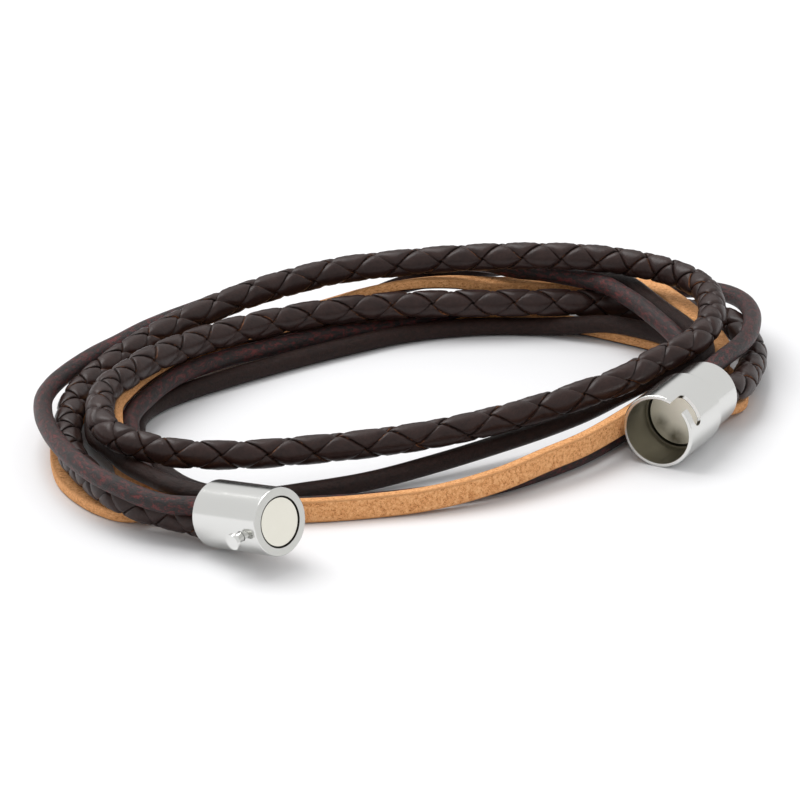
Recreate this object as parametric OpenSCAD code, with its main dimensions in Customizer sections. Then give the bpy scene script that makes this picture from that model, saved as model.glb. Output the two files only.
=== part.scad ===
// Double-wrap leather bracelet with its clasp open: four leather strands run twice
// round the wrist, from the plug of a tubular bayonet clasp to its socket.
// Millimetres, Z up. The bracelet lies on z = 0, with the clasp at the front (-Y).

/* [Clasp plug] */
// Outer diameter of the plug
plug_d = 7; // [6.6:0.1:7.4]
// Length of the plug
plug_len = 9.4; // [8.8:0.1:11]
// Azimuth of the plug, from its cords to its face
plug_azimuth = -45; // [-50:1:-40]
// Rise of the plug towards its face
plug_rise = 11.5; // [8:0.5:13]

/* [Lock pin] */
// Diameter of the lock pin
pin_d = 1; // [0.8:0.1:1.2]
// Depth of the pin's hole in the plug
pin_seat = 1.5; // [1.2:0.1:1.8]
// Distance of the pin from the plug's face
pin_back = 2.3; // [2.2:0.1:2.5]
// Angle of the pin round the plug, from its underside
pin_angle = -78; // [-90:1:-60]
// Diameter of the pin's head
pin_head_d = 1.7; // [1.5:0.1:2]
// Thickness of the pin's head
pin_head_t = 0.4; // [0.3:0.1:0.6]
// Gap between the pin's head and the sleeve when the clasp is closed
pin_head_gap = 0.4; // [0.2:0.1:0.6]

/* [Clasp socket] */
// Length of the socket
socket_len = 12.5; // [12.3:0.1:14]
// Azimuth of the socket, from its cords to its mouth
socket_azimuth = -118; // [-122:1:-114]
// Diameter of the socket's tail
tail_d = 7; // [6.8:0.1:7.4]
// Length of the wide sleeve, from the mouth
sleeve_len = 7.4; // [6.8:0.1:8]
// Wall of the sleeve
sleeve_wall = 0.4; // [0.35:0.05:0.6]
// Play of the plug in the sleeve, on its diameter
sleeve_play = 0.2; // [0.1:0.05:0.3]
// Depth of the bore that takes the plug, from the mouth
sleeve_depth = 4.8; // [4.6:0.1:5]

/* [Bayonet slot] */
// Play of the pin in the slot, on its width
slot_play = 0.6; // [0.4:0.1:0.8]
// Distance of the slot's turn from the mouth, to its centre line
slot_depth = 1.75; // [1.6:0.05:2.1]
// Angle of the slot's entry round the sleeve, up from the side
slot_entry = 55.5; // [50:0.5:60]
// Angle that the pin turns through to lock
slot_turn = 32; // [28:1:38]

/* [Magnets] */
// Diameter of the plug's magnet
plug_magnet_d = 5; // [4.6:0.1:5.3]
// Thickness of the plug's magnet
plug_magnet_t = 1.3; // [1:0.1:1.4]
// Depth of the plug's magnet below the face
plug_magnet_inset = 0.1; // [0.05:0.05:0.2]
// Side gap round the plug's magnet
plug_magnet_gap = 0.1; // [0.05:0.05:0.15]
// Diameter of the socket's magnet
socket_magnet_d = 6.3; // [6:0.1:6.4]
// Thickness of the socket's magnet
socket_magnet_t = 1.4; // [1.1:0.1:1.6]
// Side gap round the socket's magnet
socket_magnet_gap = 0.25; // [0.1:0.05:0.25]
// Depth of the socket's magnet below the end of the sleeve's bore
socket_magnet_inset = 0.1; // [0.05:0.05:0.2]

/* [Cord seats] */
// Diameter of the bore that takes the strands, in both clasp halves
cord_bore_d = 6.1; // [5.9:0.05:6.2]
// Depth of that bore
cord_bore_depth = 4.4; // [4.2:0.1:4.6]

/* [Strands] */
// Diameter of the braided cord
braid_d = 3; // [2.8:0.1:3.1]
// Diameter of the plain brown cord
brown_d = 2; // [1.8:0.1:2.1]
// Diameter of the antiqued cord
antique_d = 2; // [1.8:0.1:2.1]
// Width of the natural lace
lace_w = 2.4; // [2.2:0.1:2.5]
// Thickness of the natural lace
lace_t = 1.2; // [1:0.1:1.3]
// Bevel along the edges of the natural lace
lace_bevel = 0.25; // [0.15:0.05:0.35]

/* [Finish] */
// Radius of the clasp's rounded edges
edge_r = 0.15; // [0.1:0.05:0.15]
// Gap between pieces that are seated in each other
seat_gap = 0.05; // [0.03:0.01:0.06]
cut_over = 1;           // How far a bore or pocket is cut past the face it opens through

/* [Hidden] */
$fn = 64;
strand_sides = 8;

// The sleeve goes over the plug, and the pin through the sleeve's wall
sleeve_bore_d = plug_d + sleeve_play;
sleeve_d = sleeve_bore_d + 2 * sleeve_wall;
sleeve_end = socket_len - sleeve_depth;
magnet_face = sleeve_end - socket_magnet_inset;
magnet_floor = magnet_face - socket_magnet_t - seat_gap;
socket_pocket_d = socket_magnet_d + 2 * socket_magnet_gap;
pin_neck = sleeve_d / 2 - plug_d / 2 + pin_head_gap;
slot_w = pin_d + slot_play;
plug_pocket_d = plug_magnet_d + 2 * plug_magnet_gap;
plug_pocket_depth = plug_magnet_t + plug_magnet_inset + seat_gap;

// Where the strands enter each clasp half: the plug stands on the lower edge of
// its cord end, and the socket lies on its sleeve
plug_rear = [-19.5, -30.1, plug_d / 2 * cos(plug_rise)];
socket_rear = [31.9, 1.4, sleeve_d / 2];

// Centre line of the braided cord, from the plug's bore to the socket's: [x, y, z]
braid_route = [
    [-17, -33.5, 3], [-19.7, -30.7, 2.2], [-23.5, -28.2, 2.2], [-27.7, -26.3, 2.6],
    [-29.9, -24.5, 2.9], [-31.5, -22.1, 2.9], [-33.3, -18.5, 2.9], [-35.1, -14, 2.9],
    [-36, -8.5, 3], [-36.1, -3.5, 3.1], [-35.7, 0.8, 3.4], [-34.7, 4.2, 3.7],
    [-32.8, 7.8, 4.2], [-29.1, 13.5, 4.8], [-25.9, 17.6, 5.2], [-22.3, 21.5, 5.6],
    [-17.7, 25.4, 6.1], [-13.3, 28.1, 6.5], [-8.8, 30.2, 6.9], [-1, 31.5, 7.5],
    [6.2, 31.8, 8], [14.2, 31.1, 8.5], [21, 30.3, 8.5], [25.6, 28.9, 8.3],
    [29.1, 27, 8.1], [31.4, 24.5, 8], [32.8, 21, 8], [33.1, 16.6, 8],
    [32.6, 12, 7.8], [31, 8, 7.5], [29.1, 5.6, 7.2], [26.2, 3, 6.8],
    [22.5, -1, 6.3], [18.9, -3.2, 5.8], [15.3, -5.4, 5.4], [9.3, -8.6, 4.9],
    [2.4, -11.6, 4.5], [-4.5, -14, 4.4], [-11.3, -15.8, 4.4], [-17, -17.4, 4.6],
    [-21, -18.4, 5], [-25, -18.8, 5.5], [-27.8, -18, 5.9], [-30.3, -16.4, 6.2],
    [-31.8, -14, 6.4], [-32.4, -10.5, 6.5], [-32.4, -6.4, 6.5], [-31.7, -2.6, 6.4],
    [-30.4, 0.2, 6.3], [-28.5, 4.2, 6.2], [-25.4, 9.2, 5.8], [-22.7, 13.1, 5.4],
    [-18.6, 17.4, 5], [-14.3, 21.4, 4.5], [-9.4, 24.6, 4.2], [-4.4, 26.8, 4],
    [1.5, 28, 3.9], [9.2, 28.6, 3.8], [18.2, 29.3, 3.6], [22.3, 29.9, 3.2],
    [25.7, 30.4, 2.4], [29, 30.2, 2.1], [32, 29.1, 2.6], [34.9, 26.7, 2.8],
    [36.9, 23.2, 2.4], [37.8, 18.8, 2.1], [37.6, 14.4, 2.4], [36.8, 9.9, 2.9],
    [35.6, 5, 3.4], [34.2, 2.4, 3.9], [33.1, 0.8, 4.1], [31.2, -2.8, 4.1]];

// Centre line of the antiqued cord: [x, y, z]
antique_route = [
    [-18, -33.8, 5.4], [-20.8, -31, 4.6], [-24.9, -29.8, 4.4], [-27.2, -28.6, 4.6],
    [-29.4, -26.9, 4.9], [-31.7, -24.6, 5.1], [-34, -21.1, 5.2], [-36, -16.9, 5.2],
    [-37.6, -12, 5.1], [-38.6, -6.8, 4.9], [-38.8, -2.2, 4.8], [-38.2, 1.4, 4.7],
    [-36.6, 6, 4.6], [-34.2, 10.6, 4.6], [-31.8, 14.4, 4.5], [-29.2, 18.4, 4.5],
    [-26.9, 21.5, 4.4], [-23.8, 24.8, 4.4], [-20.6, 27.7, 4.5], [-15.5, 30.8, 4.7],
    [-9, 33.7, 5.1], [-1, 35.5, 5.9], [5, 35.3, 6.3], [9, 34.6, 6.2],
    [12, 33.4, 6], [15.3, 32.4, 6], [19, 30.8, 5.9], [21.9, 28, 6.2],
    [23.7, 25.1, 6.2], [25.5, 22.4, 5.9], [27.1, 19.3, 5.6], [28.4, 17, 5.2],
    [29.5, 14.8, 4.6], [29.9, 12, 3.5], [29.4, 9.4, 2.3], [27.9, 6.3, 1.4],
    [25, 1.8, 1.1], [22.2, -3.2, 1], [18, -9, 1], [14.3, -12.7, 1],
    [9.2, -16.7, 1], [2.3, -19.6, 1], [-3, -21.2, 1], [-8.1, -22.1, 1],
    [-13, -22.6, 1], [-17.8, -22.6, 1], [-22, -21.2, 1], [-25.6, -18.2, 1],
    [-27.6, -14.5, 1.4], [-28.5, -11.2, 2.4], [-29.2, -8.2, 2.8], [-29.6, -5, 3.1],
    [-29.3, -1.8, 3.1], [-28.4, 1.4, 3], [-27, 4.8, 3.1], [-25.2, 8.2, 3.1],
    [-23.2, 11.2, 2.9], [-20.4, 14.3, 2.7], [-16.3, 18.2, 2.3], [-8.7, 24.6, 1.6],
    [-1, 29, 1.1], [3.5, 30.8, 1.7], [8, 32.3, 2.4], [12, 33.6, 2.4],
    [18, 35, 2.1], [24, 35.6, 2.3], [29.5, 34.8, 3.1], [33, 33.2, 3.7],
    [35.3, 31.4, 4], [36.5, 29.3, 4.3], [37.4, 26.6, 4.6], [37.9, 23.1, 4.8],
    [37.7, 18.8, 5.1], [36.9, 14.2, 5.4], [35.4, 10.2, 5.6], [33.8, 6.8, 5.8],
    [32.3, 3.6, 5.9], [31.4, 1.7, 5.9], [29.5, -1.8, 5.9]];

// Centre line of the plain brown cord: [x, y, z]
brown_route = [
    [-16.6, -32.2, 6], [-19.3, -29.4, 5.2], [-22, -27.3, 4.6], [-24.5, -25, 4.4],
    [-26.7, -21.5, 3.9], [-29.2, -17.2, 3.4], [-31.5, -12.4, 3.3], [-32.9, -9.3, 3.1],
    [-33.4, -5.5, 2.9], [-33.3, -1, 2.7], [-32.1, 3, 2.6], [-30.4, 7.8, 2.5],
    [-27.9, 12.8, 2.4], [-25.2, 16.7, 2.3], [-21.5, 20.8, 2.3], [-17.5, 24.2, 2],
    [-13.5, 26.5, 1.3], [-10.6, 27.9, 1], [-8.2, 30.5, 1.1], [-5.2, 32.7, 2.4],
    [-1, 34.4, 3.7], [3.5, 36, 4.1], [8, 37.6, 4.4], [12, 37.3, 5],
    [15, 36.2, 5.5], [18, 34.9, 5.7], [21, 33.2, 5.7], [22.9, 31.6, 5.6],
    [24.9, 29.5, 5.5], [26.6, 26.4, 5.2], [28.2, 23.2, 5], [30, 19.6, 4.9],
    [31.4, 16, 4.9], [32.2, 12.6, 5], [32, 9.6, 5], [30.7, 7.3, 4.8],
    [28.5, 5.7, 4.6], [26, 4.3, 4.3], [23, 2.2, 3.6], [18.6, -2, 3],
    [14.5, -5.2, 2.6], [9.2, -8.6, 2.1], [2.4, -12.8, 1.6], [-4.5, -16.5, 1.2],
    [-10.8, -18.7, 1], [-15, -20.1, 1], [-19.2, -20, 1], [-22.5, -18.1, 1],
    [-25, -14.9, 1], [-26.8, -10.8, 1], [-28.3, -7.6, 1], [-28.9, -3.9, 1],
    [-29.1, 0, 1], [-28.4, 3.2, 1], [-26.5, 6.4, 1], [-23.9, 9.3, 1],
    [-21, 11.9, 1], [-17.1, 15.1, 1], [-12, 19, 1], [-6.2, 22.9, 1],
    [-1, 26, 1], [4, 27.8, 1], [10, 28.7, 1], [14, 28.6, 1],
    [18, 27.6, 1.5], [22, 26.3, 2.2], [25.5, 24.2, 2.4], [28.5, 21.8, 2.4],
    [30.8, 18.8, 2.2], [31.9, 15.4, 1.6], [32.3, 12, 1], [32.5, 9.2, 1],
    [32.7, 6.8, 1.3], [32.1, 4.7, 2.4], [30.2, 2.3, 3.8], [28.3, -1.2, 3.8]];

// Centre line of the natural lace: [x, y, z, roll], roll 0 flat and 90 on edge
lace_route = [
    [-15.3, -31.5, 4.2, 90], [-18.1, -28.7, 3.4, 90], [-20.5, -26.4, 2.9, 80], [-23, -24.8, 1.9, 50],
    [-26, -24, 1, 0], [-29.3, -23.6, 0.7, 0], [-31.2, -22.2, 0.7, 0], [-33.6, -19.1, 0.7, 0],
    [-35.4, -15.4, 0.7, 0], [-36.4, -10.8, 0.7, 0], [-36.8, -6, 0.7, 0], [-36.6, -1, 0.7, 0],
    [-35.6, 4, 0.7, 0], [-33.4, 9.5, 0.7, 0], [-30.3, 14.5, 0.7, 0], [-26.8, 19, 0.7, 0],
    [-24, 22, 0.7, 0], [-20.5, 25.2, 0.7, 0], [-16.5, 27.6, 0.7, 0], [-12.4, 29.8, 1.9, 0],
    [-9, 30.3, 2.9, 10], [-5, 30.9, 4.1, 20], [-1, 31.4, 4.8, 20], [5, 32.6, 4.8, 10],
    [9, 33.1, 4.3, 0], [12.4, 33.6, 4.1, 0], [16.9, 34.5, 3.9, 0], [21.5, 34.6, 3.9, 0],
    [25.7, 33.5, 4.3, 0], [27.5, 31.2, 4.5, 0], [29.2, 28, 4.5, 0], [30.9, 24.3, 4.4, 0],
    [32.8, 19.8, 4.1, 0], [34.1, 14.9, 3.3, 0], [32.9, 10.3, 2.9, 0], [30.7, 7.3, 2.8, 20],
    [29, 4.6, 2.5, 60], [26.2, 1.5, 3, 90], [24.1, -2.3, 3.1, 90], [22.2, -6, 3.4, 90],
    [18, -11.2, 3.1, 90], [14.5, -14.4, 2.9, 90], [9.2, -18.6, 2.3, 90], [2.4, -21.7, 1.6, 90],
    [-4.5, -23.3, 1.3, 90], [-9.5, -24.2, 1.3, 90], [-14, -24.5, 1.3, 90], [-18.5, -24.3, 1.3, 90],
    [-22.6, -22.9, 1.3, 90], [-26.2, -20.2, 1.3, 90], [-28.4, -17.1, 1.3, 90], [-29.7, -13.9, 1.3, 80],
    [-30.5, -10.7, 2.3, 75], [-31.2, -7, 3.4, 60], [-31.4, -3.5, 3.7, 50], [-30.6, 0.2, 3.7, 45],
    [-29.2, 4.6, 3.5, 45], [-27.2, 8.7, 3.4, 45], [-25, 12.6, 2.9, 60], [-22.5, 16.2, 2.2, 90],
    [-18.8, 19.9, 1.6, 90], [-14, 23.3, 1.3, 90], [-9.5, 26.4, 1.3, 90], [-5, 29.1, 1.3, 70],
    [-1, 31.5, 0.7, 0], [4, 33.1, 0.7, 0], [8, 33.4, 0.7, 0], [12, 32.6, 0.7, 0],
    [16, 31, 0.7, 0], [20, 29.2, 0.7, 0], [23.5, 27, 0.7, 0], [26.7, 24.9, 0.7, 0],
    [30, 22, 0.7, 0], [32.8, 18.4, 0.7, 0], [34.6, 14.2, 0.7, 0], [35.6, 9.8, 0.7, 0],
    [35.1, 5.8, 0.9, 0], [33.6, 3.1, 1.5, 0], [31.9, 1.4, 1.9, 0], [30, -2.1, 1.9, 0]];

// Unit vector along v
function unit(v) = v / norm(v);

// Vector from point i of a route to the next
function leg(route, i) = [for (k = [0:2]) route[i + 1][k] - route[i][k]];

// Direction of a route at point i: each leg weighted by the length of the other
function heading(route, i) =
    i == 0 ? unit(leg(route, 0))
    : i == len(route) - 1 ? unit(leg(route, i - 1))
    : unit(unit(leg(route, i)) * norm(leg(route, i - 1))
           + unit(leg(route, i - 1)) * norm(leg(route, i)));

// Outline [across, up] placed square to the route at point i and turned by its roll
function ring(route, i, outline) =
    let (centre = [for (k = [0:2]) route[i][k]],
         side = unit(cross(heading(route, i), [0, 0, 1])),
         up = cross(side, heading(route, i)),
         roll = len(route[i]) > 3 ? route[i][3] : 0)
    [for (p = outline) centre + side * (p.x * cos(roll) - p.y * sin(roll))
                              + up * (p.x * sin(roll) + p.y * cos(roll))];

// Solid of an outline swept along a route
module strand(route, outline) {
    sides = len(outline);
    rings = len(route);
    last = (rings - 1) * sides;
    polyhedron(
        points = [for (i = [0:rings - 1]) each ring(route, i, outline)],
        faces = concat(
            [for (i = [0:rings - 2], k = [0:sides - 1])
                let (a = i * sides + k, b = i * sides + (k + 1) % sides)
                each [[a, b, b + sides], [a, b + sides, a + sides]]],
            [for (k = [1:sides - 2]) [0, k + 1, k]],
            [for (k = [1:sides - 2]) [last, last + k, last + k + 1]]),
        convexity = 20);
}

// Outline of a round strand
function round_outline(d) =
    [for (k = [0:strand_sides - 1]) d / 2 * [cos(360 * k / strand_sides), sin(360 * k / strand_sides)]];

// Outline of the bevelled lace
function lace_outline(w, t, bevel) =
    [[w / 2 - bevel, -t / 2], [w / 2, -t / 2 + bevel], [w / 2, t / 2 - bevel], [w / 2 - bevel, t / 2],
     [-w / 2 + bevel, t / 2], [-w / 2, t / 2 - bevel], [-w / 2, -t / 2 + bevel], [-w / 2 + bevel, -t / 2]];

// A turned barrel with rounded outer edges, from z = 0 up
module barrel(d, length) {
    rotate_extrude() {
        square([d / 2 - edge_r, length]);
        translate([0, edge_r]) square([d / 2, length - 2 * edge_r]);
        for (z = [edge_r, length - edge_r])
            translate([d / 2 - edge_r, z]) circle(edge_r, $fn = 24);
    }
}

// A bore of a given depth from z = 0 up, open below
module bore_up(d, depth) {
    translate([0, 0, -cut_over]) cylinder(d = d, h = depth + cut_over);
}

// The plug's own frame: cords enter at z = 0, and +Z runs to the face
module at_plug() {
    translate(plug_rear) rotate([0, 90 - plug_rise, plug_azimuth]) children();
}

// The socket's own frame: cords enter at z = 0, +Z runs to the mouth, +Y to the side
module at_socket() {
    translate(socket_rear) rotate([0, 90, socket_azimuth]) children();
}

// The pin's own frame: +Z runs out of the plug, from the plug's axis
module at_pin() {
    at_plug() translate([0, 0, plug_len - pin_back]) rotate([0, 90, pin_angle]) children();
}

// The plug: cord bore behind, solid middle with the pin's hole, magnet pocket in the face
module plug() {
    color("gainsboro") difference() {
        at_plug() difference() {
            barrel(plug_d, plug_len);
            bore_up(cord_bore_d, cord_bore_depth);
            translate([0, 0, plug_len - plug_pocket_depth]) cylinder(d = plug_pocket_d, h = plug_pocket_depth + cut_over);
        }
        at_pin() translate([0, 0, plug_d / 2 - pin_seat]) cylinder(d = pin_d + 2 * seat_gap, h = pin_seat + cut_over);
    }
}

// The disc magnet in the plug's face
module plug_magnet() {
    color("ivory") at_plug()
        translate([0, 0, plug_len - plug_magnet_inset - plug_magnet_t])
            cylinder(d = plug_magnet_d, h = plug_magnet_t);
}

// The headed pin that runs in the bayonet slot
module lock_pin() {
    color("silver") at_pin() {
        translate([0, 0, plug_d / 2 - pin_seat + seat_gap])
            cylinder(d = pin_d, h = pin_seat - seat_gap + pin_neck + pin_head_t / 2);
        translate([0, 0, plug_d / 2 + pin_neck]) cylinder(d = pin_head_d, h = pin_head_t);
    }
}

// The L-shaped bayonet slot, cut through the sleeve's wall
module slot() {
    entry = 90 + slot_entry;
    lock = entry - slot_turn;
    cut_in = sleeve_bore_d / 2 - 1;
    cut_out = sleeve_d / 2 + 1;
    turn_z = socket_len - slot_depth;
    rotate(entry) translate([cut_in, -slot_w / 2, turn_z]) cube([cut_out - cut_in, slot_w, slot_depth + 1]);
    rotate(lock) rotate_extrude(angle = slot_turn)
        translate([cut_in, turn_z - slot_w / 2]) square([cut_out - cut_in, slot_w]);
    for (a = [entry, lock])
        rotate(a) translate([cut_in, 0, turn_z]) rotate([0, 90, 0]) cylinder(d = slot_w, h = cut_out - cut_in);
}

// The socket: a wide sleeve with the slot, and a narrower tail with the cord bore
module socket() {
    color("gainsboro") at_socket() difference() {
        union() {
            barrel(tail_d, socket_len - sleeve_len + 1);
            translate([0, 0, socket_len - sleeve_len]) barrel(sleeve_d, sleeve_len);
        }
        bore_up(cord_bore_d, cord_bore_depth);
        translate([0, 0, sleeve_end]) cylinder(d = sleeve_bore_d, h = sleeve_depth + 1);
        translate([0, 0, magnet_floor]) cylinder(d = socket_pocket_d, h = sleeve_end - magnet_floor + 1);
        slot();
    }
}

// The disc magnet at the bottom of the sleeve
module socket_magnet() {
    color("ivory") at_socket()
        translate([0, 0, magnet_face - socket_magnet_t]) cylinder(d = socket_magnet_d, h = socket_magnet_t);
}

// The dark cord, which the render plaits from four laces
module braided_cord() {
    color([0.22, 0.16, 0.14]) strand(braid_route, round_outline(braid_d));
}

// The plain dark brown cord
module brown_cord() {
    color([0.1, 0.06, 0.05]) strand(brown_route, round_outline(brown_d));
}

// The antiqued cord, black rubbed with red
module antique_cord() {
    color([0.3, 0.16, 0.15]) strand(antique_route, round_outline(antique_d));
}

// The flat lace of natural leather
module natural_lace() {
    color([0.72, 0.47, 0.26]) strand(lace_route, lace_outline(lace_w, lace_t, lace_bevel));
}

plug();
plug_magnet();
lock_pin();
socket();
socket_magnet();
braided_cord();
brown_cord();
antique_cord();
natural_lace();
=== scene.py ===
import math

import bpy
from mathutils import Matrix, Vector


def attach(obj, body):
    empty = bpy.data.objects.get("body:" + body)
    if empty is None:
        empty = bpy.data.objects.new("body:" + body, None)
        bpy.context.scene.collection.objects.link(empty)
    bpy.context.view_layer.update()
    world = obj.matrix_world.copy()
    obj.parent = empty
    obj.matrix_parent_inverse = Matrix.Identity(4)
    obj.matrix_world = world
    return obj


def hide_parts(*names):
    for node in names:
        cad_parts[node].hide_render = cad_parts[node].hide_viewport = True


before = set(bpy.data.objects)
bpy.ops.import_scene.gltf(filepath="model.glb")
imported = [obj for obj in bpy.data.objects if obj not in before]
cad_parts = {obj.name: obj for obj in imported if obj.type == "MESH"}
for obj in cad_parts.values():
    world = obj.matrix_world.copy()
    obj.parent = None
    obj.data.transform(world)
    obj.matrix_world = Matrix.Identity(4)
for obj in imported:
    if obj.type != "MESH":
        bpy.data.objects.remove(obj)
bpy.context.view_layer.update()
MM = 0.001

# The camera stands low in front of the bracelet, with a long lens, as the
# photograph was taken. It looks along +Y, and 22 degrees down at the front passes.
camera_rise = math.radians(22)
camera_reach = 543 * MM
camera_target = Vector((-1, -11, 8.12)) * MM
camera_lens = 234
camera_sensor = 36
camera_near = 50 * MM
camera_far = 10

camera_back = Vector((0, -math.cos(camera_rise), math.sin(camera_rise)))
bpy.ops.object.select_all(action="DESELECT")
bpy.ops.object.camera_add(location=camera_target + camera_reach * camera_back,
                          rotation=(math.radians(90) - camera_rise, 0, 0))
camera = bpy.context.object
camera.data.sensor_width = camera_sensor
camera.data.lens = camera_lens
camera.data.clip_start = camera_near
camera.data.clip_end = camera_far
bpy.context.scene.camera = camera
bpy.context.scene.view_settings.view_transform = "Standard"

# The braided cord: four dark laces plaited round each other, two winding each way,
# each over one and under the next. It is glued into the plug and the socket. Its
# grain side is waxed espresso brown, and its cut edges show the raw leather.
braid_route = [
    (-17, -33.5, 3), (-19.7, -30.7, 2.2), (-23.5, -28.2, 2.2), (-27.7, -26.3, 2.6),
    (-29.9, -24.5, 2.9), (-31.5, -22.1, 2.9), (-33.3, -18.5, 2.9), (-35.1, -14, 2.9),
    (-36, -8.5, 3), (-36.1, -3.5, 3.1), (-35.7, 0.8, 3.4), (-34.7, 4.2, 3.7),
    (-32.8, 7.8, 4.2), (-29.1, 13.5, 4.8), (-25.9, 17.6, 5.2), (-22.3, 21.5, 5.6),
    (-17.7, 25.4, 6.1), (-13.3, 28.1, 6.5), (-8.8, 30.2, 6.9), (-1, 31.5, 7.5),
    (6.2, 31.8, 8), (14.2, 31.1, 8.5), (21, 30.3, 8.5), (25.6, 28.9, 8.3),
    (29.1, 27, 8.1), (31.4, 24.5, 8), (32.8, 21, 8), (33.1, 16.6, 8),
    (32.6, 12, 7.8), (31, 8, 7.5), (29.1, 5.6, 7.2), (26.2, 3, 6.8),
    (22.5, -1, 6.3), (18.9, -3.2, 5.8), (15.3, -5.4, 5.4), (9.3, -8.6, 4.9),
    (2.4, -11.6, 4.5), (-4.5, -14, 4.4), (-11.3, -15.8, 4.4), (-17, -17.4, 4.6),
    (-21, -18.4, 5), (-25, -18.8, 5.5), (-27.8, -18, 5.9), (-30.3, -16.4, 6.2),
    (-31.8, -14, 6.4), (-32.4, -10.5, 6.5), (-32.4, -6.4, 6.5), (-31.7, -2.6, 6.4),
    (-30.4, 0.2, 6.3), (-28.5, 4.2, 6.2), (-25.4, 9.2, 5.8), (-22.7, 13.1, 5.4),
    (-18.6, 17.4, 5), (-14.3, 21.4, 4.5), (-9.4, 24.6, 4.2), (-4.4, 26.8, 4),
    (1.5, 28, 3.9), (9.2, 28.6, 3.8), (18.2, 29.3, 3.6), (22.3, 29.9, 3.2),
    (25.7, 30.4, 2.4), (29, 30.2, 2.1), (32, 29.1, 2.6), (34.9, 26.7, 2.8),
    (36.9, 23.2, 2.4), (37.8, 18.8, 2.1), (37.6, 14.4, 2.4), (36.8, 9.9, 2.9),
    (35.6, 5, 3.4), (34.2, 2.4, 3.9), (33.1, 0.8, 4.1), (31.2, -2.8, 4.1)]

braid_d = 3.12 * MM
braid_step = 0.2 * MM       # between close points of the centre line
plait_laces = 4
plait_cover = 0.95          # width of a lace, as a share of its room in the plait
plait_leather = 0.42 * MM   # thickness of a lace
plait_dip = 0.5 * MM        # how much lower a lace runs where it passes under another
plait_crown = 0.07 * MM     # how much higher its middle lies than its sides
plait_round = 0.14 * MM     # how far its sides are rounded off
plait_bevel = 0.2           # the share of half its width that is rounded off
plait_snap = 2.0            # how quickly it passes from over to under
plait_steep = 0.8           # the share of that change that is made quickly
plait_fine = 14             # rings of points from one crossing to the next
# How many facets of one row lie before a distance (mm)
plait_counts = [(0, -2), (9, 0), (12.5, 1), (20, 3), (50.5, 11), (60, 13), (71.5, 15), (79, 16.5),
                (89, 18.5), (99, 20.5), (108, 22.5), (116.5, 24.5), (144, 32.5), (153, 34.5),
                (158.5, 35.5), (164, 36.5), (169.5, 37.5), (181, 39.5), (192, 41.5), (202, 43.5),
                (206.5, 44.5), (211, 46), (214, 47), (225.5, 50), (233, 52), (243, 54), (253, 56),
                (269, 59), (283, 62), (292, 64), (342, 75)]
# How far the rows are turned round the cord (degrees) at a distance (mm)
plait_turns = [(0, 40), (20, 45), (50, 60), (70, 68), (80, 80), (92, 95), (105, 100), (112, 92),
               (118, 76), (142, 80), (150, 92), (156, 76), (164, 56), (170, 37), (175, 21), (181, 13),
               (187, 4), (192, -2), (197, -16), (202, -21), (210, -17), (216, -10), (225, 22), (342, 22)]
espresso_dark = (0.014, 0.006, 0.005)
espresso_light = (0.034, 0.016, 0.013)
raw_edge_dark = (0.008, 0.003, 0.002)
raw_edge_light = (0.2, 0.075, 0.03)


def centre_line(route, gap):
    """Close points on the smooth line through a route: (distance, point, side, up, roll)."""
    points = [Vector(p[:3]) * MM for p in route]
    rolls = [math.radians(p[3]) if len(p) > 3 else 0.0 for p in route]
    spans = [(b - a).length for a, b in zip(points, points[1:])]
    ways = [(b - a) / span for a, b, span in zip(points, points[1:], spans)]
    turns = [(b - a) / span for a, b, span in zip(rolls, rolls[1:], spans)]

    def blended(rates):
        inner = [(rates[i] * spans[i - 1] + rates[i - 1] * spans[i]) / (spans[i - 1] + spans[i])
                 for i in range(1, len(rates))]
        return [rates[0]] + inner + [rates[-1]]

    slopes, twists = blended(ways), blended(turns)
    line = []
    distance = 0.0
    for i, span in enumerate(spans):
        count = max(1, round(span / gap))
        for k in range(count + (i == len(spans) - 1)):
            t = k / count
            near, far = 2 * t**3 - 3 * t**2 + 1, 3 * t**2 - 2 * t**3
            leave, reach = (t**3 - 2 * t**2 + t) * span, (t**3 - t**2) * span
            point = points[i] * near + points[i + 1] * far + slopes[i] * leave + slopes[i + 1] * reach
            roll = rolls[i] * near + rolls[i + 1] * far + twists[i] * leave + twists[i + 1] * reach
            if line:
                distance += (point - line[-1][1]).length
            line.append((distance, point, roll))
    framed = []
    for k, (distance, point, roll) in enumerate(line):
        way = (line[min(k + 1, len(line) - 1)][1] - line[max(k - 1, 0)][1]).normalized()
        side = way.cross(Vector((0, 0, 1))).normalized()
        framed.append((distance, point, side, side.cross(way), roll))
    return framed


def place_on(line, distance, angle, radius):
    """The point at a distance along a line, and off it by a radius at an angle from its side."""
    distance = min(max(distance, 0.0), line[-1][0])
    k = min(int(distance / line[-1][0] * (len(line) - 1)), len(line) - 2)
    while k > 0 and line[k][0] > distance:
        k -= 1
    while k < len(line) - 2 and line[k + 1][0] < distance:
        k += 1
    share = (distance - line[k][0]) / (line[k + 1][0] - line[k][0])
    point = line[k][1].lerp(line[k + 1][1], share)
    side = line[k][2].lerp(line[k + 1][2], share)
    up = line[k][3].lerp(line[k + 1][3], share)
    return point + side * radius * math.cos(angle) + up * radius * math.sin(angle)


def between(pairs, value):
    """The second number that goes with a value of the first, read off between listed pairs."""
    for (x0, y0), (x1, y1) in zip(pairs, pairs[1:]):
        if value <= x1:
            return y0 + (y1 - y0) * (value - x0) / (x1 - x0)
    return pairs[-1][1]


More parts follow.
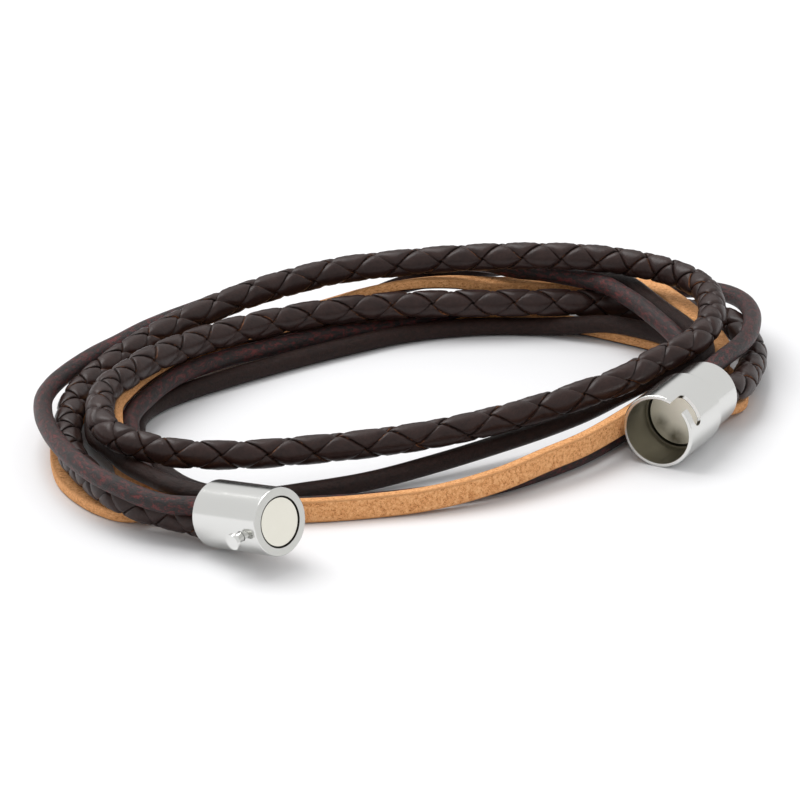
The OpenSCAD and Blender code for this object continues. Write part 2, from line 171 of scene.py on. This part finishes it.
def plaited_lace(line, index):
    """The rings of one lace of the plait, and which of their sides are cut edges."""
    each_way = plait_laces // 2
    hand = 1 if index < each_way else -1
    pitch = 2 * math.pi / plait_laces
    start = 2 * (index % each_way) * pitch
    across = [-1, -0.94, -0.84, -0.5, 0, 0.5, 0.84, 0.94, 1]
    cut_sides = {0, 7, 8, 11}
    places = [(count, distance) for distance, count in plait_counts]
    first, last = places[0][0] * 2, places[-1][0] * 2
    rings = []
    for step in range(int((last - first) * plait_fine) + 1):
        run = 2 * (first + step / plait_fine)
        wave = math.cos(math.pi * run / 2) * hand
        lift = min(max((wave * plait_snap + 1) / 2, 0), 1)
        lift = plait_steep * lift * lift * (3 - 2 * lift) + (1 - plait_steep) * (wave + 1) / 2
        top = braid_d / 2 - plait_dip * (1 - lift)
        outline = []
        for b in across:
            rounded = max(0, (abs(b) - 1) / plait_bevel + 1)
            outline.append((b, top - plait_crown * b * b - plait_round * rounded**2))
        outline += [(b, top - plait_leather) for b in (1, 0, -1)]
        ring = []
        for b, radius in outline:
            distance = between(places, (run + b * plait_cover) / 4)
            turn = start + hand * pitch * (run - b * plait_cover) / 2
            turn += math.radians(between(plait_turns, distance))
            ring.append(place_on(line, distance * MM, turn, radius))
        if hand == 1:
            ring.reverse()
        rings.append((ring, between(places, run / 4) * MM))
    if hand == 1:
        cut_sides = {(len(ring) - 2 - side) % len(ring) for side in cut_sides}
    return rings, cut_sides


def skin(name, rings, cut_sides=()):
    """A closed mesh through equal rings of points, smooth, with its cut sides in a second material."""
    around = len(rings[0][0])
    vertices = [p for ring, _ in rings for p in ring]
    faces, places, slots = [], [], []
    for i, ((_, here), (_, there)) in enumerate(zip(rings, rings[1:])):
        for k in range(around):
            j = (k + 1) % around
            faces.append((i * around + k, i * around + j, (i + 1) * around + j, (i + 1) * around + k))
            near, far = k / around, (k + 1) / around
            places += [(here, near), (here, far), (there, far), (there, near)]
            slots.append(1 if k in cut_sides else 0)
    last = (len(rings) - 1) * around
    for cap, at in ((list(range(around))[::-1], 0), ([last + k for k in range(around)], -1)):
        faces.append(tuple(cap))
        places += [(rings[at][1], k / around) for k in range(around)]
        slots.append(0)
    mesh = bpy.data.meshes.new(name)
    mesh.from_pydata(vertices, [], faces)
    mesh.uv_layers.new(name="along")
    mesh.uv_layers["along"].data.foreach_set("uv", [c for place in places for c in place])
    mesh.polygons.foreach_set("material_index", slots)
    mesh.polygons.foreach_set("use_smooth", [True] * len(faces))
    mesh.validate()
    mesh.update()
    piece = bpy.data.objects.new(name, mesh)
    bpy.context.collection.objects.link(piece)
    return piece


def fill(tree, node, inputs):
    """Give a node's inputs their values, or links where the values are other nodes' sockets."""
    for key, value in inputs.items():
        if isinstance(value, bpy.types.NodeSocket):
            tree.links.new(value, node.inputs[key])
        else:
            node.inputs[key].default_value = value


def add_node(tree, kind, inputs, **settings):
    """A new shader node of a kind, with its settings made and its inputs filled."""
    node = tree.nodes.new("ShaderNode" + kind)
    for key, value in settings.items():
        setattr(node, key, value)
    fill(tree, node, inputs)
    return node


def reckon(tree, operation, *values):
    """The socket that holds the outcome of a sum with values or sockets."""
    return add_node(tree, "Math", dict(enumerate(values)), operation=operation).outputs["Value"]


def ramp_of(tree, factor, stops):
    """The socket that holds the colour for a factor, between stops of (place, tint)."""
    ramp = add_node(tree, "ValToRGB", {"Fac": factor})
    elements = ramp.color_ramp.elements
    for element, (place, tint) in ((elements[0], stops[0]), (elements[1], stops[-1])):
        element.position = place
        element.color = (*tint, 1)
    for place, tint in stops[1:-1]:
        elements.new(place).color = (*tint, 1)
    return ramp.outputs["Color"]


def leather(name, tints, roughness, sheen, grain, stretch, around, relief, corner_darkening=()):
    """Leather: tints spread by noise drawn out along the strand, with a fine grain raised on it.

    It is darker round the outline where its last argument, stops of (place round the outline, depth), says so.
    """
    patch_grains, patch_detail, patch_roughness = 4, 5, 0.7
    fibre_stretch, fibre_detail, fibre_roughness, fibre_share = 1.5, 4, 0.6, 0.4
    material = bpy.data.materials.new(name)
    material.use_nodes = True
    tree = material.node_tree
    place = add_node(tree, "UVMap", {}, uv_map="along").outputs["UV"]
    parts = add_node(tree, "SeparateXYZ", {"Vector": place})
    turn = reckon(tree, "MULTIPLY", parts.outputs["Y"], 2 * math.pi)
    noises = []
    for drawn, size, detail, rough in ((stretch, patch_grains * grain, patch_detail, patch_roughness),
                                       (fibre_stretch, grain, fibre_detail, fibre_roughness)):
        spot = add_node(tree, "CombineXYZ", {
            "X": reckon(tree, "MULTIPLY", parts.outputs["X"], 1 / drawn),
            "Y": reckon(tree, "MULTIPLY", reckon(tree, "COSINE", turn), around),
            "Z": reckon(tree, "MULTIPLY", reckon(tree, "SINE", turn), around)})
        noises.append(add_node(tree, "TexNoise", {"Vector": spot.outputs["Vector"], "Scale": 1 / size,
                                                  "Detail": detail, "Roughness": rough}).outputs["Fac"])
    mixed = add_node(tree, "Mix", {"Factor": fibre_share, "A": noises[0], "B": noises[1]}).outputs["Result"]
    shade = mixed
    if corner_darkening:
        depths = ramp_of(tree, parts.outputs["Y"], [(spot, (depth,) * 3) for spot, depth in corner_darkening])
        shade = reckon(tree, "SUBTRACT", mixed, depths)
    bump = add_node(tree, "Bump", {"Strength": 1, "Distance": relief, "Height": mixed})
    fill(tree, tree.nodes["Principled BSDF"], {
        "Base Color": ramp_of(tree, shade, tints), "Normal": bump.outputs["Normal"],
        "Roughness": roughness, "Specular IOR Level": sheen})
    return material


braid_line = centre_line(braid_route, braid_step)
espresso = leather("espresso_leather", [(0.35, espresso_dark), (0.65, espresso_light)],
                   roughness=0.36, sheen=0.27, grain=0.12 * MM, stretch=2, around=0.4 * MM, relief=0.06 * MM)
raw_edge = leather("raw_edge", [(0.52, raw_edge_dark), (0.66, raw_edge_light)],
                   roughness=0.7, sheen=0.2, grain=0.2 * MM, stretch=3, around=0.4 * MM, relief=0.03 * MM)
for index in range(plait_laces):
    rings, cut_sides = plaited_lace(braid_line, index)
    piece = skin(f"plait_lace_{index + 1}", rings, cut_sides)
    piece.data.materials.append(espresso)
    piece.data.materials.append(raw_edge)
    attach(piece, "root")
    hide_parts("braided_cord")

# The plain brown cord: a solid round leather cord, dyed near-black brown and
# lightly polished. It is glued into both clasp halves.
brown_route = [
    (-16.6, -32.2, 6), (-19.3, -29.4, 5.2), (-22, -27.3, 4.6), (-24.5, -25, 4.4),
    (-26.7, -21.5, 3.9), (-29.2, -17.2, 3.4), (-31.5, -12.4, 3.3), (-32.9, -9.3, 3.1),
    (-33.4, -5.5, 2.9), (-33.3, -1, 2.7), (-32.1, 3, 2.6), (-30.4, 7.8, 2.5),
    (-27.9, 12.8, 2.4), (-25.2, 16.7, 2.3), (-21.5, 20.8, 2.3), (-17.5, 24.2, 2),
    (-13.5, 26.5, 1.3), (-10.6, 27.9, 1), (-8.2, 30.5, 1.1), (-5.2, 32.7, 2.4),
    (-1, 34.4, 3.7), (3.5, 36, 4.1), (8, 37.6, 4.4), (12, 37.3, 5),
    (15, 36.2, 5.5), (18, 34.9, 5.7), (21, 33.2, 5.7), (22.9, 31.6, 5.6),
    (24.9, 29.5, 5.5), (26.6, 26.4, 5.2), (28.2, 23.2, 5), (30, 19.6, 4.9),
    (31.4, 16, 4.9), (32.2, 12.6, 5), (32, 9.6, 5), (30.7, 7.3, 4.8),
    (28.5, 5.7, 4.6), (26, 4.3, 4.3), (23, 2.2, 3.6), (18.6, -2, 3),
    (14.5, -5.2, 2.6), (9.2, -8.6, 2.1), (2.4, -12.8, 1.6), (-4.5, -16.5, 1.2),
    (-10.8, -18.7, 1), (-15, -20.1, 1), (-19.2, -20, 1), (-22.5, -18.1, 1),
    (-25, -14.9, 1), (-26.8, -10.8, 1), (-28.3, -7.6, 1), (-28.9, -3.9, 1),
    (-29.1, 0, 1), (-28.4, 3.2, 1), (-26.5, 6.4, 1), (-23.9, 9.3, 1),
    (-21, 11.9, 1), (-17.1, 15.1, 1), (-12, 19, 1), (-6.2, 22.9, 1),
    (-1, 26, 1), (4, 27.8, 1), (10, 28.7, 1), (14, 28.6, 1),
    (18, 27.6, 1.5), (22, 26.3, 2.2), (25.5, 24.2, 2.4), (28.5, 21.8, 2.4),
    (30.8, 18.8, 2.2), (31.9, 15.4, 1.6), (32.3, 12, 1), (32.5, 9.2, 1),
    (32.7, 6.8, 1.3), (32.1, 4.7, 2.4), (30.2, 2.3, 3.8), (28.3, -1.2, 3.8)]

brown_d = 2.0 * MM
strand_step = 0.5 * MM      # between close points of a plain strand's centre line
strand_sides = 24
brown_dark = (0.006, 0.002, 0.001)
brown_light = (0.03, 0.011, 0.008)


def round_rings(line, diameter):
    """The rings of a round cord along a line."""
    angles = [2 * math.pi * k / strand_sides for k in range(strand_sides)]
    return [([point + (side * math.cos(a) + up * math.sin(a)) * diameter / 2 for a in angles], distance)
            for distance, point, side, up, _ in line]


brown = skin("brown_cord_leather", round_rings(centre_line(brown_route, strand_step), brown_d))
brown.data.materials.append(leather(
    "brown_leather", [(0.38, brown_dark), (0.66, brown_light)],
    roughness=0.36, sheen=0.2, grain=0.1 * MM, stretch=1.5, around=1 * MM, relief=0.2 * MM))
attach(brown, "root")
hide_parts("brown_cord")

# The antique cord: a solid round leather cord, dyed black over red and rubbed back,
# so that a worn deep red shows through in patches. It is glued into both clasp halves.
antique_route = [
    (-18, -33.8, 5.4), (-20.8, -31, 4.6), (-24.9, -29.8, 4.4), (-27.2, -28.6, 4.6),
    (-29.4, -26.9, 4.9), (-31.7, -24.6, 5.1), (-34, -21.1, 5.2), (-36, -16.9, 5.2),
    (-37.6, -12, 5.1), (-38.6, -6.8, 4.9), (-38.8, -2.2, 4.8), (-38.2, 1.4, 4.7),
    (-36.6, 6, 4.6), (-34.2, 10.6, 4.6), (-31.8, 14.4, 4.5), (-29.2, 18.4, 4.5),
    (-26.9, 21.5, 4.4), (-23.8, 24.8, 4.4), (-20.6, 27.7, 4.5), (-15.5, 30.8, 4.7),
    (-9, 33.7, 5.1), (-1, 35.5, 5.9), (5, 35.3, 6.3), (9, 34.6, 6.2),
    (12, 33.4, 6), (15.3, 32.4, 6), (19, 30.8, 5.9), (21.9, 28, 6.2),
    (23.7, 25.1, 6.2), (25.5, 22.4, 5.9), (27.1, 19.3, 5.6), (28.4, 17, 5.2),
    (29.5, 14.8, 4.6), (29.9, 12, 3.5), (29.4, 9.4, 2.3), (27.9, 6.3, 1.4),
    (25, 1.8, 1.1), (22.2, -3.2, 1), (18, -9, 1), (14.3, -12.7, 1),
    (9.2, -16.7, 1), (2.3, -19.6, 1), (-3, -21.2, 1), (-8.1, -22.1, 1),
    (-13, -22.6, 1), (-17.8, -22.6, 1), (-22, -21.2, 1), (-25.6, -18.2, 1),
    (-27.6, -14.5, 1.4), (-28.5, -11.2, 2.4), (-29.2, -8.2, 2.8), (-29.6, -5, 3.1),
    (-29.3, -1.8, 3.1), (-28.4, 1.4, 3), (-27, 4.8, 3.1), (-25.2, 8.2, 3.1),
    (-23.2, 11.2, 2.9), (-20.4, 14.3, 2.7), (-16.3, 18.2, 2.3), (-8.7, 24.6, 1.6),
    (-1, 29, 1.1), (3.5, 30.8, 1.7), (8, 32.3, 2.4), (12, 33.6, 2.4),
    (18, 35, 2.1), (24, 35.6, 2.3), (29.5, 34.8, 3.1), (33, 33.2, 3.7),
    (35.3, 31.4, 4), (36.5, 29.3, 4.3), (37.4, 26.6, 4.6), (37.9, 23.1, 4.8),
    (37.7, 18.8, 5.1), (36.9, 14.2, 5.4), (35.4, 10.2, 5.6), (33.8, 6.8, 5.8),
    (32.3, 3.6, 5.9), (31.4, 1.7, 5.9), (29.5, -1.8, 5.9)]

antique_d = 2.0 * MM
antique_black = (0.008, 0.007, 0.007)
antique_brown = (0.022, 0.011, 0.01)
antique_red = (0.13, 0.018, 0.018)

antique = skin("antique_cord_leather", round_rings(centre_line(antique_route, strand_step), antique_d))
antique.data.materials.append(leather(
    "antique_leather", [(0.43, antique_black), (0.51, antique_brown), (0.6, antique_red)],
    roughness=0.46, sheen=0.35, grain=0.1 * MM, stretch=2, around=1 * MM, relief=0.25 * MM))
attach(antique, "root")
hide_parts("antique_cord")

# The natural lace: a flat strip of undyed tan leather, cut square, with its fibres
# showing, and darker along one rounded corner of its outline. It is glued into both clasp halves.
lace_route = [
    (-15.3, -31.5, 4.2, 90), (-18.1, -28.7, 3.4, 90), (-20.5, -26.4, 2.9, 80), (-23, -24.8, 1.9, 50),
    (-26, -24, 1, 0), (-29.3, -23.6, 0.7, 0), (-31.2, -22.2, 0.7, 0), (-33.6, -19.1, 0.7, 0),
    (-35.4, -15.4, 0.7, 0), (-36.4, -10.8, 0.7, 0), (-36.8, -6, 0.7, 0), (-36.6, -1, 0.7, 0),
    (-35.6, 4, 0.7, 0), (-33.4, 9.5, 0.7, 0), (-30.3, 14.5, 0.7, 0), (-26.8, 19, 0.7, 0),
    (-24, 22, 0.7, 0), (-20.5, 25.2, 0.7, 0), (-16.5, 27.6, 0.7, 0), (-12.4, 29.8, 1.9, 0),
    (-9, 30.3, 2.9, 10), (-5, 30.9, 4.1, 20), (-1, 31.4, 4.8, 20), (5, 32.6, 4.8, 10),
    (9, 33.1, 4.3, 0), (12.4, 33.6, 4.1, 0), (16.9, 34.5, 3.9, 0), (21.5, 34.6, 3.9, 0),
    (25.7, 33.5, 4.3, 0), (27.5, 31.2, 4.5, 0), (29.2, 28, 4.5, 0), (30.9, 24.3, 4.4, 0),
    (32.8, 19.8, 4.1, 0), (34.1, 14.9, 3.3, 0), (32.9, 10.3, 2.9, 0), (30.7, 7.3, 2.8, 20),
    (29, 4.6, 2.5, 60), (26.2, 1.5, 3, 90), (24.1, -2.3, 3.1, 90), (22.2, -6, 3.4, 90),
    (18, -11.2, 3.1, 90), (14.5, -14.4, 2.9, 90), (9.2, -18.6, 2.3, 90), (2.4, -21.7, 1.6, 90),
    (-4.5, -23.3, 1.3, 90), (-9.5, -24.2, 1.3, 90), (-14, -24.5, 1.3, 90), (-18.5, -24.3, 1.3, 90),
    (-22.6, -22.9, 1.3, 90), (-26.2, -20.2, 1.3, 90), (-28.4, -17.1, 1.3, 90), (-29.7, -13.9, 1.3, 80),
    (-30.5, -10.7, 2.3, 75), (-31.2, -7, 3.4, 60), (-31.4, -3.5, 3.7, 50), (-30.6, 0.2, 3.7, 45),
    (-29.2, 4.6, 3.5, 45), (-27.2, 8.7, 3.4, 45), (-25, 12.6, 2.9, 60), (-22.5, 16.2, 2.2, 90),
    (-18.8, 19.9, 1.6, 90), (-14, 23.3, 1.3, 90), (-9.5, 26.4, 1.3, 90), (-5, 29.1, 1.3, 70),
    (-1, 31.5, 0.7, 0), (4, 33.1, 0.7, 0), (8, 33.4, 0.7, 0), (12, 32.6, 0.7, 0),
    (16, 31, 0.7, 0), (20, 29.2, 0.7, 0), (23.5, 27, 0.7, 0), (26.7, 24.9, 0.7, 0),
    (30, 22, 0.7, 0), (32.8, 18.4, 0.7, 0), (34.6, 14.2, 0.7, 0), (35.6, 9.8, 0.7, 0),
    (35.1, 5.8, 0.9, 0), (33.6, 3.1, 1.5, 0), (31.9, 1.4, 1.9, 0), (30, -2.1, 1.9, 0)]

lace_w = 2.4 * MM
lace_t = 1.2 * MM
lace_corner = 0.2 * MM
corner_points = 4
natural_darkest = (0.03, 0.012, 0.008)
natural_dark = (0.32, 0.12, 0.04)
natural_tan = (0.68, 0.31, 0.115)
natural_pale = (0.88, 0.5, 0.24)
# Round the lace's outline the darker corner lies from 0.75 to 0.9
natural_dark_corner = [(0.73, 0), (0.75, 0.3), (0.87, 0.3), (0.92, 0)]


def lace_rings(line, width, thickness):
    """The rings of a flat lace with rounded corners along a line, turned by the line's roll."""
    outline = []
    for cx, cy, start in ((1, 1, 0), (-1, 1, 90), (-1, -1, 180), (1, -1, 270)):
        for k in range(corner_points):
            a = math.radians(start + 90 * k / (corner_points - 1))
            outline.append((cx * (width / 2 - lace_corner) + lace_corner * math.cos(a),
                            cy * (thickness / 2 - lace_corner) + lace_corner * math.sin(a)))
    rings = []
    for distance, point, side, up, roll in line:
        wide = side * math.cos(roll) + up * math.sin(roll)
        thick = up * math.cos(roll) - side * math.sin(roll)
        rings.append(([point + wide * x + thick * y for x, y in outline], distance))
    return rings


lace = skin("natural_lace_leather", lace_rings(centre_line(lace_route, strand_step), lace_w, lace_t))
lace.data.materials.append(leather(
    "natural_leather", [(0.22, natural_darkest), (0.38, natural_dark), (0.47, natural_tan), (0.62, natural_pale)],
    roughness=0.8, sheen=0.2, grain=0.08 * MM, stretch=1, around=4 * MM, relief=0.15 * MM,
    corner_darkening=natural_dark_corner))
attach(lace, "root")
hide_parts("natural_lace")

# The plug of the clasp: a polished steel barrel whose cord end takes the four strands.
# Its magnet is glued in a pocket in the face, and the lock pin is pressed in its side.
# The gap round the magnet, its pocket walls and the magnet's rim, is painted near-black as painted shade.
plug_rear = Vector((-19.5, -30.1, 3.43)) * MM
plug_azimuth = math.radians(-45)
plug_rise = math.radians(11.5)
face_from = 9.3 * MM        # along the plug from its rear
face_radius = 3.4 * MM
pocket_from = 5 * MM
pocket_radius = 2.66 * MM
magnet_radius = 2.46 * MM
steel_tint = (0.71, 0.71, 0.69)
face_tint = (0.6, 0.6, 0.57)
magnet_tint = (0.8, 0.78, 0.69)
# Painted shade: the near-black of the gap between the magnet and its pocket wall
pocket_shade_tint = (0.05, 0.047, 0.04)
barrel_roughness = 0.16
face_roughness = 0.35
gap_roughness = 0.6
pin_roughness = 0.12
rub_size = 1.2 * MM
rub_detail = 5
rub_depth = 0.25


def metal(name, tint, roughness, zones=(), rear=None, way=None, dark_reflections=(), reflection_tint=None):
    """Metal with an uneven polish, and dark patches of painted reflection given as (centre, radius, depth).

    Zones (least distance along the axis, radius, tint, roughness) differ within a radius of the
    axis, which starts at the rear and runs the way given.
    """
    material = bpy.data.materials.new(name)
    material.use_nodes = True
    tree = material.node_tree
    place = add_node(tree, "TexCoord", {}).outputs["Object"]
    rub = add_node(tree, "TexNoise", {"Vector": place, "Scale": 1 / rub_size, "Detail": rub_detail}).outputs["Fac"]
    colour, rough = (*tint, 1), roughness
    for centre, size, depth in dark_reflections:
        away = add_node(tree, "VectorMath", {0: place, 1: centre}, operation="DISTANCE").outputs["Value"]
        fade = add_node(tree, "MapRange", {"Value": away, "From Min": size, "From Max": 0, "To Max": 2 * depth},
                        interpolation_type="SMOOTHSTEP").outputs["Result"]
        colour = add_node(tree, "Mix", {"Factor": reckon(tree, "MULTIPLY", fade, rub), "A": colour,
                                        "B": (*reflection_tint, 1)}, data_type="RGBA").outputs["Result"]
    if zones:
        off = add_node(tree, "VectorMath", {0: place, 1: rear}, operation="SUBTRACT").outputs["Vector"]
        along = add_node(tree, "VectorMath", {0: off, 1: way}, operation="DOT_PRODUCT").outputs["Value"]
        cross = add_node(tree, "VectorMath", {0: off, 1: way}, operation="CROSS_PRODUCT").outputs["Vector"]
        radius = add_node(tree, "VectorMath", {0: cross}, operation="LENGTH").outputs["Value"]
    for zone_from, zone_radius, zone_tint, zone_roughness in zones:
        inside = reckon(tree, "MULTIPLY", reckon(tree, "GREATER_THAN", along, zone_from),
                        reckon(tree, "LESS_THAN", radius, zone_radius))
        colour = add_node(tree, "Mix", {"Factor": inside, "A": colour, "B": (*zone_tint, 1)},
                          data_type="RGBA").outputs["Result"]
        rough = add_node(tree, "Mix", {"Factor": inside, "A": rough, "B": zone_roughness}).outputs["Result"]
    uneven = add_node(tree, "MapRange", {"Value": rub, "To Min": 1 - rub_depth, "To Max": 1 + rub_depth})
    fill(tree, tree.nodes["Principled BSDF"], {
        "Metallic": 1, "Base Color": colour,
        "Roughness": reckon(tree, "MULTIPLY", rough, uneven.outputs["Result"])})
    return material


def dress(node, material):
    """Give a piece of the clasp its one material."""
    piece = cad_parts[node]
    piece.data.materials.clear()
    piece.data.materials.append(material)


plug_way = Vector((math.cos(plug_azimuth) * math.cos(plug_rise),
                   math.sin(plug_azimuth) * math.cos(plug_rise), math.sin(plug_rise)))
dress("plug", metal("plug_steel", steel_tint, barrel_roughness,
                    [(face_from, face_radius, face_tint, face_roughness),
                     (pocket_from, pocket_radius, pocket_shade_tint, gap_roughness)], plug_rear, plug_way))
dress("plug_magnet", metal("plug_magnet_face", pocket_shade_tint, gap_roughness,
                           [(pocket_from, magnet_radius, magnet_tint, face_roughness)], plug_rear, plug_way))
dress("lock_pin", metal("pin_steel", steel_tint, pin_roughness))

# The socket of the clasp: a polished steel tube with a bayonet slot, brushed inside,
# where its bore is painted dark, partly for that duller finish and partly as painted shade.
# A magnet disc is glued at the bottom of its bore, and the strands are glued in its tail.
# Two dark patches of painted reflection, in the bore's tint, lie on the disc.
socket_rear = Vector((31.9, 1.4, 4.0)) * MM
socket_azimuth = math.radians(-118)
bore_from = 5.7 * MM        # along the socket from its rear
bore_radius = 3.63 * MM
# The bore's tint: partly its duller brushed finish, partly painted shade inside the tube
bore_finish_and_shade_tint = (0.25, 0.23, 0.18)
inside_roughness = 0.42
disc_tint = (0.92, 0.89, 0.78)
disc_roughness = 0.4
# Painted reflection: two dark patches on the magnet disc, in the bore's tint
disc_painted_reflections = [(Vector((26.5, -4.5, 2.7)) * MM, 1.6 * MM, 0.8),
                (Vector((28.2, -5.3, 1.5)) * MM, 1.8 * MM, 0.9)]

socket_way = Vector((math.cos(socket_azimuth), math.sin(socket_azimuth), 0))
dress("socket", metal("socket_steel", steel_tint, barrel_roughness,
                      [(bore_from, bore_radius, bore_finish_and_shade_tint, inside_roughness)], socket_rear, socket_way))
dress("socket_magnet", metal("socket_magnet_face", disc_tint, disc_roughness,
                             dark_reflections=disc_painted_reflections, reflection_tint=bore_finish_and_shade_tint))

# The studio: a plain white floor under one broad soft lamp and an even pale sky,
# with a dark card low behind the bracelet that draws dark lines on the steel.
floor_size = 4
floor_tint = (0.78, 0.78, 0.79)
floor_roughness = 0.5
sky_strength = 0.86
card_strength = 0.03
card_top = 0.2              # height and width of the card, as parts of the sky's unit sphere
card_side = 0.94
card_blur = 0.08
lamp_place = (-0.25, 0.2, 0.6)
lamp_turn = (math.radians(-18), math.radians(-22), 0)
lamp_size = 0.5
lamp_power = 3.6

bpy.ops.object.select_all(action="DESELECT")
bpy.ops.mesh.primitive_plane_add(size=floor_size, location=(0, 0, 0))
floor = bpy.context.object
floor.name = "floor"
floor_paint = bpy.data.materials.new("floor")
floor_paint.use_nodes = True
fill(floor_paint.node_tree, floor_paint.node_tree.nodes["Principled BSDF"],
     {"Base Color": (*floor_tint, 1), "Roughness": floor_roughness})
floor.data.materials.append(floor_paint)

world = bpy.data.worlds.new("studio")
bpy.context.scene.world = world
world.use_nodes = True
sky = world.node_tree
look = add_node(sky, "TexCoord", {}).outputs["Generated"]
compass = add_node(sky, "SeparateXYZ", {"Vector": look})
over = add_node(sky, "MapRange", {"Value": compass.outputs["Z"],
                                  "From Min": card_top, "From Max": card_top + card_blur})
beside = add_node(sky, "MapRange", {"Value": compass.outputs["Y"],
                                    "From Min": card_side, "From Max": card_side - card_blur})
clear = reckon(sky, "MAXIMUM", over.outputs["Result"], beside.outputs["Result"])
strength = add_node(sky, "MapRange", {"Value": clear, "To Min": card_strength, "To Max": sky_strength})
fill(sky, sky.nodes["Background"], {"Color": (1, 1, 1, 1), "Strength": strength.outputs["Result"]})

bpy.ops.object.light_add(type="AREA", location=lamp_place, rotation=lamp_turn)
lamp = bpy.context.object
lamp.data.size = lamp_size
lamp.data.energy = lamp_power
